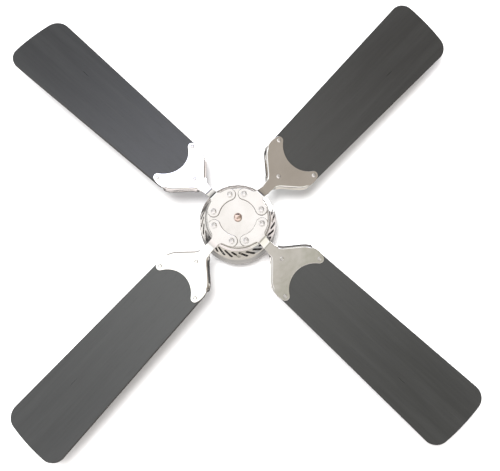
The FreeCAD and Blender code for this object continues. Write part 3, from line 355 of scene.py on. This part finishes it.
def join(*parts):
    out = []
    for part in parts:
        for p in part:
            if not out or math.hypot(p[0] - out[-1][0], p[1] - out[-1][1]) > 1e-4:
                out.append(p)
    if math.hypot(out[0][0] - out[-1][0], out[0][1] - out[-1][1]) < 1e-4:
        out.pop()
    return out


def line(p, q, n):
    return [(p[0] + (q[0] - p[0]) * i / n, p[1] + (q[1] - p[1]) * i / n) for i in range(n + 1)]


def smooth01(x):
    x = min(max(x, 0.0), 1.0)
    return x * x * (3 - 2 * x)


def inward(loop):
    """Unit normals pointing into a counter-clockwise loop."""
    n = len(loop)
    out = []
    for i in range(n):
        a, b = loop[i - 1], loop[(i + 1) % n]
        dx, dy = b[0] - a[0], b[1] - a[1]
        l = math.hypot(dx, dy) or 1.0
        out.append((-dy / l, dx / l))
    return out


def spin(az):
    return Matrix.Rotation(math.radians(az), 4, "Z")


# the slope and pitch of a blade: X out along the blade, Z up through it (metres)
TILT = (Matrix.Translation((0, 0, -111.4 * MM)) @ Matrix.Rotation(math.radians(-3.5), 4, "Y")
        @ Matrix.Rotation(math.radians(12.0), 4, "X"))
UNDER = -5.2


# ------------------------------------------------------------------ blades
def board_outline():
    tip_x = 530.0 - 2.9
    slope = (64.9 - 52.9) / (tip_x - 140.0)
    cr = 25.5
    half = [(93.0, -8.5), (96.0, -12.4), (115.5, -34.6), (120.6, -39.6), (131.4, -48.6), (140.0, -52.9)]
    e0 = (tip_x - cr, -(64.9 - slope * cr))
    e1 = (tip_x + 0.9, -(64.9 - cr))
    w, sag = 64.9 - cr, 2.9 - 0.9
    rend = (w * w + sag * sag) / (2 * sag)
    up = lambda pts: [(x, -y) for x, y in reversed(pts)]
    root = join(*[line(half[i], half[i + 1], 4) for i in range(len(half) - 1)])
    side = line(half[-1], e0, 24)
    corner = arc_between(e0, e1, cr + 0.35, 1, 14)
    end = arc_between(e1, (e1[0], -e1[1]), rend, 1, 28)
    pts = join(root + [half[-1]], side, corner, end, up(corner), up(side), up(root + [half[-1]]), line((93.0, 8.5), (93.0, -8.5), 4))
    return pts


def board(name, az):
    loop = board_outline()
    nrm = inward(loop)
    r = 0.9
    # profile from the lower face round the edge to the upper face: (inset, level)
    prof = [(2.4, -3.0), (r, -3.0)]
    prof += [(r - r * math.sin(math.radians(a)), -3.0 + r - r * math.cos(math.radians(a))) for a in (18, 36, 54, 72, 90)]
    prof += [(0.0, -1.0), (0.0, 1.0)]
    prof += [(r - r * math.cos(math.radians(a)), 3.0 - r + r * math.sin(math.radians(a))) for a in (0, 18, 36, 54, 72)]
    prof += [(r, 3.0), (2.4, 3.0)]
    verts, faces, fm = [], [], []
    n = len(loop)
    for ins, z in prof:
        for (x, y), (nx, ny) in zip(loop, nrm):
            verts.append(((x + nx * ins) * MM, (y + ny * ins) * MM, z * MM))
    edge_rows = range(3, len(prof) - 4)
    for k in range(len(prof) - 1):
        for i in range(n):
            j = (i + 1) % n
            faces.append((k * n + j, k * n + i, (k + 1) * n + i, (k + 1) * n + j)[::-1])
            fm.append(1 if k in edge_rows else 0)
    faces.append(tuple(reversed(range(n))))
    fm.append(0)
    faces.append(tuple((len(prof) - 1) * n + i for i in range(n)))
    fm.append(0)
    ob = to_object(name, verts, faces, [M["blade_wood"], M["blade_edge"]], fm, matrix=spin(az) @ TILT)
    return ob


# ------------------------------------------------------------------ blade irons
def iron_outline():
    """Foot, neck and whale-tail paddle in one counter-clockwise loop, in plan."""
    fa, rc, lobe = math.radians(28.3), 44.0, 10.4
    ri, ro = rc - lobe, rc + lobe
    c = (rc * math.cos(fa), rc * math.sin(fa))
    deg = math.degrees(fa)
    neck = 8.3
    # lower half, from the middle of the foot's inner edge outward, y negative
    inner = arc((0, 0), ri, 0.0, -deg, 16)
    lob = arc((c[0], -c[1]), lobe, -deg + 180.0, -deg + 360.0, 26)
    band = arc((0, 0), ro, -deg, -14.5, 8)
    a, b = band[-1], (60.0, -neck)
    # hollow fillet from the band into the neck
    t0 = (-math.sin(math.radians(-14.5)), math.cos(math.radians(-14.5)))
    fil = []
    for i in range(1, 13):
        t = i / 12.0
        h = 7.5
        p0, p1, m0, m1 = a, b, (t0[0] * h, t0[1] * h), (h, 0.0)
        fil.append(tuple((2*t**3 - 3*t*t + 1) * p0[k] + (t**3 - 2*t*t + t) * m0[k] + (-2*t**3 + 3*t*t) * p1[k] + (t**3 - t*t) * m1[k] for k in (0, 1)))
    nk = line((60.0, -neck), (74.0, -neck), 14)
    fl1 = arc_between((74.0, -neck), (96.0, -17.8), 30.0, -1, 16)
    fl2 = line((96.0, -17.8), (118.0, -42.5), 16)
    fl3 = arc_between((118.0, -42.5), (157.1, -52.06), 38.3, 1, 26)
    lb = arc_between((157.1, -52.06), (159.6, -37.9), 8.0, 1, 18)
    hol = arc_between((159.6, -37.9), (139.5, 0.0), 46.5, -1, 30)
    low = join(inner, lob, band, fil, nk, fl1, fl2, fl3, lb, hol)
    upper = [(x, -y) for x, y in reversed(low[1:])][1:]
    loop = low + upper
    # relax the corners where two curves meet, so that the edge runs as pressed sheet does
    for _ in range(2):
        m = len(loop)
        new = []
        for i in range(m):
            p, q, r = loop[i - 1], loop[i], loop[(i + 1) % m]
            new.append((q[0] * 0.6 + (p[0] + r[0]) * 0.2, q[1] * 0.6 + (p[1] + r[1]) * 0.2))
        loop = new
    return loop


def place(x, y, h):
    """Plan point and height above the lower face, as bent through the neck's joggle (mm)."""
    foot = Vector((x, y, FOOT_Z + h))
    pad = TILT @ (Vector((x, y, UNDER + h)) * MM) / MM
    t = smooth01((x - 55.5) / 17.0)
    return foot.lerp(pad, t)


def iron(name, az):
    loop = iron_outline()
    nrm = inward(loop)
    n = len(loop)
    g, rim, rg = 2.2, 5.4, 1.7

    def flange(x, y):
        """1 on the flanks, where the edge is turned up; 0 elsewhere."""
        if abs(y) < 8.0:
            return 0.0
        return smooth01((x - 80.0) / 9.0) * (1.0 - smooth01((x - 129.0) / 7.0))

    # rows from the lower flat, round the lower edge, up the leaning wall, over the lip and down inside
    rows = [("low", k / 9.0) for k in range(10)]
    rows += [("wall", 0.33), ("wall", 0.66)]
    rows += [("lip", k / 5.0) for k in range(6)]
    rows += [("inside", 0.66), ("inside", 0.33), ("root", 0.0), ("deck", 0.0)]
    rt = 0.5
    verts, faces = [], []
    for kind, a in rows:
        for (x, y), (nx, ny) in zip(loop, nrm):
            w = flange(x, y)
            rl = 0.85 + (3.4 - 0.85) * w                 # rounding of the lower edge
            lean = math.radians(90.0 - 28.0 * w)         # slope of the wall
            out = (2.4 if y < 0 else 1.6) * w            # the flange stands outside the flat outline
            top = g + rim * w
            h0 = rl * (1.0 - math.cos(lean))             # where the wall starts
            h1 = top - rt                                # where it ends
            cot = math.cos(lean) / math.sin(lean)
            thick = (rt + (rg - rt) * w) / math.sin(lean)

            def wall(h):
                return (h1 - h) * cot
            if kind == "low":
                t = lean * a
                ins, h = wall(h0) + rl * (math.sin(lean) - math.sin(t)), rl * (1.0 - math.cos(t))
            elif kind == "wall":
                h = h0 + (h1 - h0) * a
                ins = wall(h)
            elif kind == "lip":
                # half-round lip from the outer to the inner side of the wall
                t = math.pi * a if w > 0.02 else math.pi / 2 * a
                half_t = thick / 2 if w > 0.02 else rt
                ins, h = half_t - half_t * math.cos(t), h1 + rt * math.sin(t)
            elif kind == "inside":
                h = g + (h1 - g) * a if w > 0.02 else top
                ins = thick + (wall(h) if w > 0.02 else 0.0)
            elif kind == "root":
                ins, h = thick * 1.1 + (wall(g) if w > 0.02 else 0.0) + 0.15, g
            else:
                ins, h = thick * 1.1 + (wall(g) if w > 0.02 else 0.0) + 1.3, g
            ins -= out
            p = place(x + nx * ins, y + ny * ins, h)
            verts.append(tuple(c * MM for c in p))
    m = len(rows)
    for k in range(m - 1):
        for i in range(n):
            j = (i + 1) % n
            faces.append((k * n + i, k * n + j, (k + 1) * n + j, (k + 1) * n + i))
    # caps: the two flat faces, split at the joggle so that it stays smooth
    for row, flip in ((0, True), (m - 1, False)):
        base = row * n
        half = n // 2

        def mirror(i):
            return (n - i) % n
        a = next(i for i in range(half) if loop[i][0] > 56.0 and -8.9 < loop[i][1] < -7.5)
        b = next(i for i in range(a, half) if loop[i][0] >= 72.5)
        foot = [base + i for i in range(0, a + 1)] + [base + mirror(i) for i in range(a, 0, -1)]
        pad = [base + i for i in range(b, half + 1)] + [base + mirror(i) for i in range(half - 1, b - 1, -1)]
        caps = [foot, pad]
        cross = 6
        prev = None
        for i in range(a, b + 1):
            p, q = Vector(verts[base + i]), Vector(verts[base + mirror(i)])
            if i in (a, b):
                rowv = [base + i, base + mirror(i)]
            else:
                rowv = [base + i, base + mirror(i)]
            if prev is not None:
                caps.append([prev[0], rowv[0], rowv[1], prev[1]])
            prev = rowv
        for c in caps:
            faces.append(tuple(reversed(c)) if flip else tuple(c))
    ob = to_object(name, verts, faces, [M["polished_nickel"]], matrix=spin(az))
    return ob


def crease(name, az):
    """Painted shade: a dark line in the corner where a foot lies on the hub plate."""
    loop = iron_outline()
    nrm = inward(loop)
    n = len(loop)
    keep = [math.hypot(x, y) < 52.3 for x, y in loop]
    verts, faces = [], []
    for i, ((x, y), (nx, ny)) in enumerate(zip(loop, nrm)):
        wide = 0.62 + 0.16 * math.sin(i * 0.9) * math.sin(i * 0.23)
        for off, z in ((0.25, -117.86), (-wide * 0.6, -117.88), (-wide, -117.815)):
            verts.append(((x + nx * off) * MM, (y + ny * off) * MM, z * MM))
    for i in range(n):
        j = (i + 1) % n
        if keep[i] and keep[j]:
            for k in (0, 1):
                faces.append((i * 3 + k, i * 3 + k + 1, j * 3 + k + 1, j * 3 + k))
    return to_object(name, verts, faces, [M["old_polish"]], matrix=spin(az))


for k, az in enumerate(AZ):
    b = even_normals(board("board_%d" % (k + 1), az))
    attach(b, "rotor")
    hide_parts("blade_%d" % (k + 1))
    i = even_normals(iron("iron_%d" % (k + 1), az))
    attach(i, "rotor")
    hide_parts("blade_iron_%d" % (k + 1))
    # painted shade lines in the creases round each foot
    c = crease("crease_%d" % (k + 1), az)
    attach(c, "rotor")


# ------------------------------------------------------------------ stage, light, camera
def stage_material(name, colour, glow=0.0, one_sided=False, rough=0.9):
    f = Finish(name, Roughness=rough)
    a = f.noise(f.coords(), 3.0, 3.0, 0.5)
    f.base(f.blend(f.span(a, 0.3, 0.7, 0.0, 1.0), colour, tuple(c * 0.985 for c in colour)))
    f.b.inputs["Specular IOR Level"].default_value = 0.0
    if glow:
        f.b.inputs["Emission Color"].default_value = (*colour, 1.0)
        f.b.inputs["Emission Strength"].default_value = glow
    if one_sided:
        out = f.t.nodes["Material Output"]
        g = f.node("ShaderNodeNewGeometry")
        tr = f.node("ShaderNodeBsdfTransparent")
        mx = f.node("ShaderNodeMixShader")
        f.t.links.new(g.outputs["Backfacing"], mx.inputs[0])
        f.t.links.new(f.b.outputs[0], mx.inputs[1])
        f.t.links.new(tr.outputs[0], mx.inputs[2])
        f.t.links.new(mx.outputs[0], out.inputs["Surface"])
    return f.m


def rays(ob, camera=True, glossy=False, diffuse=False, shadow=False):
    ob.visible_camera = camera
    ob.visible_glossy = glossy
    ob.visible_diffuse = diffuse
    ob.visible_shadow = shadow
    ob.visible_transmission = False
    ob.visible_volume_scatter = False


# the white sheet behind the fan: it faces down and shows only from below
s = 2.4
sheet = to_object("stage_sheet", [(-s, -s, 0.0016), (-s, s, 0.0016), (s, s, 0.0016), (s, -s, 0.0016)],
                  [(0, 1, 2, 3)], [stage_material("stage_white", (0.88, 0.88, 0.885), one_sided=True)], smooth=False)
rays(sheet)

# a wide pale room round everything: floor, sweep and wall
prof = [(0.0, -2.9), (3.0, -2.9), (6.0, -2.9)]
prof += [(6.0 + 3.0 * math.sin(math.radians(a)), -2.9 + 3.0 * (1 - math.cos(math.radians(a)))) for a in range(10, 91, 10)]
prof += [(9.0, 3.0), (8.0, 6.0), (5.0, 8.5), (0.0, 9.5)]
vs, fs, seg = [], [], 64
for r, z in prof:
    for i in range(seg):
        a = 2 * math.pi * i / seg
        vs.append((r * math.cos(a), r * math.sin(a), z))
for k in range(len(prof) - 1):
    for i in range(seg):
        j = (i + 1) % seg
        fs.append((k * seg + i, k * seg + j, (k + 1) * seg + j, (k + 1) * seg + i))
room = to_object("stage_room", vs, fs, [stage_material("stage_pale", (0.80, 0.80, 0.80), glow=0.25)])
rays(room)


def world():
    w = bpy.data.worlds.new("studio")
    bpy.context.scene.world = w
    w.use_nodes = True
    t = w.node_tree
    for n in list(t.nodes):
        t.nodes.remove(n)
    out = t.nodes.new("ShaderNodeOutputWorld")
    bg = t.nodes.new("ShaderNodeBackground")
    co = t.nodes.new("ShaderNodeTexCoord")
    sep = t.nodes.new("ShaderNodeSeparateXYZ")
    t.links.new(co.outputs["Generated"], sep.inputs[0])
    t.links.new(bg.outputs[0], out.inputs[0])

    def step(sock, a, b, c=0.0, d=1.0):
        n = t.nodes.new("ShaderNodeMapRange")
        n.interpolation_type = "SMOOTHSTEP"
        n.clamp = True
        t.links.new(sock, n.inputs["Value"])
        for k, v in (("From Min", a), ("From Max", b), ("To Min", c), ("To Max", d)):
            n.inputs[k].default_value = v
        return n.outputs["Result"]

    def mix(fac, a, b):
        n = t.nodes.new("ShaderNodeMix")
        n.data_type = "RGBA"
        t.links.new(fac, n.inputs[0])
        for v, s in ((a, n.inputs[6]), (b, n.inputs[7])):
            if isinstance(v, bpy.types.NodeSocket):
                t.links.new(v, s)
            else:
                s.default_value = (*v, 1.0)
        return n.outputs[2]

    def blendin(sock, k, other):
        n = t.nodes.new("ShaderNodeMath")
        n.operation = "MULTIPLY_ADD"
        t.links.new(other, n.inputs[0])
        n.inputs[1].default_value = k
        t.links.new(sock, n.inputs[2])
        return n.outputs[0]

    def toward(v, a, b):
        """1 within a cone about the direction v, fading out between the cosines b and a."""
        n = t.nodes.new("ShaderNodeVectorMath")
        n.operation = "DOT_PRODUCT"
        t.links.new(co.outputs["Generated"], n.inputs[0])
        l = math.sqrt(sum(c * c for c in v))
        n.inputs[1].default_value = [c / l for c in v]
        return step(n.outputs["Value"], a, b)

    x, y, z = sep.outputs
    # below: a white wall towards -Y and -X, a dim warm zone towards +Y and +X
    u = blendin(y, 1.0, x)
    white = mix(step(u, -0.40, -0.26), (1.33, 1.34, 1.36), (1.30, 1.275, 1.285))
    warm = mix(step(y, 0.02, 0.16), (0.500, 0.452, 0.405), (0.555, 0.545, 0.480))
    below = mix(step(u, -0.16, -0.06), white, warm)
    # a pale window over the first blade root, the end of the white wall past it
    below = mix(step(y, -0.72, -0.645, 1.0, 0.0), below, (0.10, 0.10, 0.11))
    below = mix(toward((0.17, -0.57, -0.80), 0.978, 0.997), below, (2.9, 3.0, 3.7))
    below = mix(toward((-0.36, -0.42, -0.83), 0.960, 0.995), below, (2.3, 2.35, 2.3))
    # soft lighter patches in the warm zone
    below = mix(toward((-0.19, 0.17, -0.967), 0.9955, 0.9998), below, (0.74, 0.71, 0.67))
    # band round the horizon, different on each diagonal
    rim = mix(step(blendin(y, -1.0, x), 0.1, 0.7), (1.30, 1.28, 1.20), (1.45, 1.36, 1.38))
    rim = mix(step(blendin(y, -1.0, x), -0.7, -0.1, 1.0, 0.0), rim, (0.46, 0.415, 0.37))
    rim = mix(step(blendin(y, 1.0, x), -0.8, -0.2, 1.0, 0.0), rim, (0.78, 0.77, 0.77))
    below = mix(step(blendin(z, 0.35, y), -0.66, -0.42), below, rim)
    # pale panels met by the bends of two necks
    below = mix(toward((-0.25, -0.93, -0.27), 0.962, 0.982), below, (1.15, 1.14, 1.14))
    below = mix(toward((0.32, 0.58, -0.75), 0.972, 0.990), below, (1.30, 1.28, 1.26))
    # above: a dim room, a beige wall towards +Y, pale panels on two diagonals, a grey patch overhead
    def both(p, q):
        n = t.nodes.new("ShaderNodeMath")
        n.operation = "MULTIPLY"
        t.links.new(p, n.inputs[0])
        t.links.new(q, n.inputs[1])
        return n.outputs[0]

    above = mix(both(step(z, 0.42, 0.52), step(y, 0.28, 0.50)), (0.13, 0.13, 0.135), (0.92, 0.87, 0.81))
    above = mix(both(step(z, 0.26, 0.42, 1.0, 0.0), step(y, -0.90, -0.75, 1.0, 0.0)), above, (0.66, 0.60, 0.58))
    above = mix(toward((0.66, 0.66, 0.38), 0.925, 0.975), above, (0.62, 0.62, 0.63))
    above = mix(toward((-0.66, -0.66, 0.36), 0.925, 0.975), above, (0.60, 0.59, 0.58))
    above = mix(toward((1.0, -0.12, 0.90), 0.925, 0.975), above, (1.15, 1.07, 1.07))
    above = mix(toward((-1.0, -0.20, 0.95), 0.940, 0.980), above, (1.30, 1.27, 1.25))
    above = mix(both(step(z, 0.74, 0.82), step(y, -0.46, -0.32, 1.0, 0.0)), above, (0.88, 0.81, 0.79))
    above = mix(step(z, 0.84, 0.92), above, (0.55, 0.54, 0.53))
    above = mix(step(z, 0.925, 0.97), above, mix(step(y, 0.02, 0.16), (0.36, 0.35, 0.34), (0.54, 0.52, 0.50)))
    sky = mix(step(z, -0.14, 0.02), below, above)
    t.links.new(sky, bg.inputs["Color"])
    bg.inputs["Strength"].default_value = 1.0


world()


def lamp(name, loc, at, size, power, colour=(1, 1, 1), shape="DISK", size_y=None):
    d = bpy.data.lights.new(name, "AREA")
    d.shape = shape
    d.size = size
    if size_y:
        d.size_y = size_y
    d.energy = power
    d.color = colour
    o = bpy.data.objects.new(name, d)
    bpy.context.scene.collection.objects.link(o)
    o.location = loc
    o.rotation_mode = "QUATERNION"
    o.rotation_quaternion = (Vector(at) - Vector(loc)).to_track_quat("-Z", "Y")
    return o


key = lamp("softbox_below", (-0.22, 0.10, -2.7), (0.0, 0.0, -0.1), 0.75, 95.0)
key.visible_glossy = False
lamp("softbox_top", (1.6, -1.9, 2.3), (0.0, 0.0, -0.1), 1.6, 60.0)
side = lamp("softbox_side", (-2.6, 0.8, 1.3), (0.0, 0.0, -0.1), 1.2, 30.0)
side.visible_glossy = False

cam_data = bpy.data.cameras.new("camera")
cam = bpy.data.objects.new("camera", cam_data)
bpy.context.scene.collection.objects.link(cam)
cam_data.sensor_fit = "HORIZONTAL"
cam_data.sensor_width = 36.0
cam_data.lens = 61.308
cam_data.clip_start = 0.05
cam_data.clip_end = 100.0
RIGHT = Vector((0.9990045, 0.04302416, -0.01178659))
UP = Vector((0.03959885, -0.97694358, -0.20979314))
BACK = Vector((-0.02054101, 0.20911756, -0.97767475))
m = Matrix((RIGHT, UP, BACK)).transposed().to_4x4()
m.translation = Vector((-0.01070909, 0.34616665, -1.57983337))
cam.matrix_world = m
bpy.context.scene.camera = cam
vs_ = bpy.context.scene.view_settings
vs_.view_transform = "Standard"
vs_.look = "None"

bpy.context.view_layer.update()
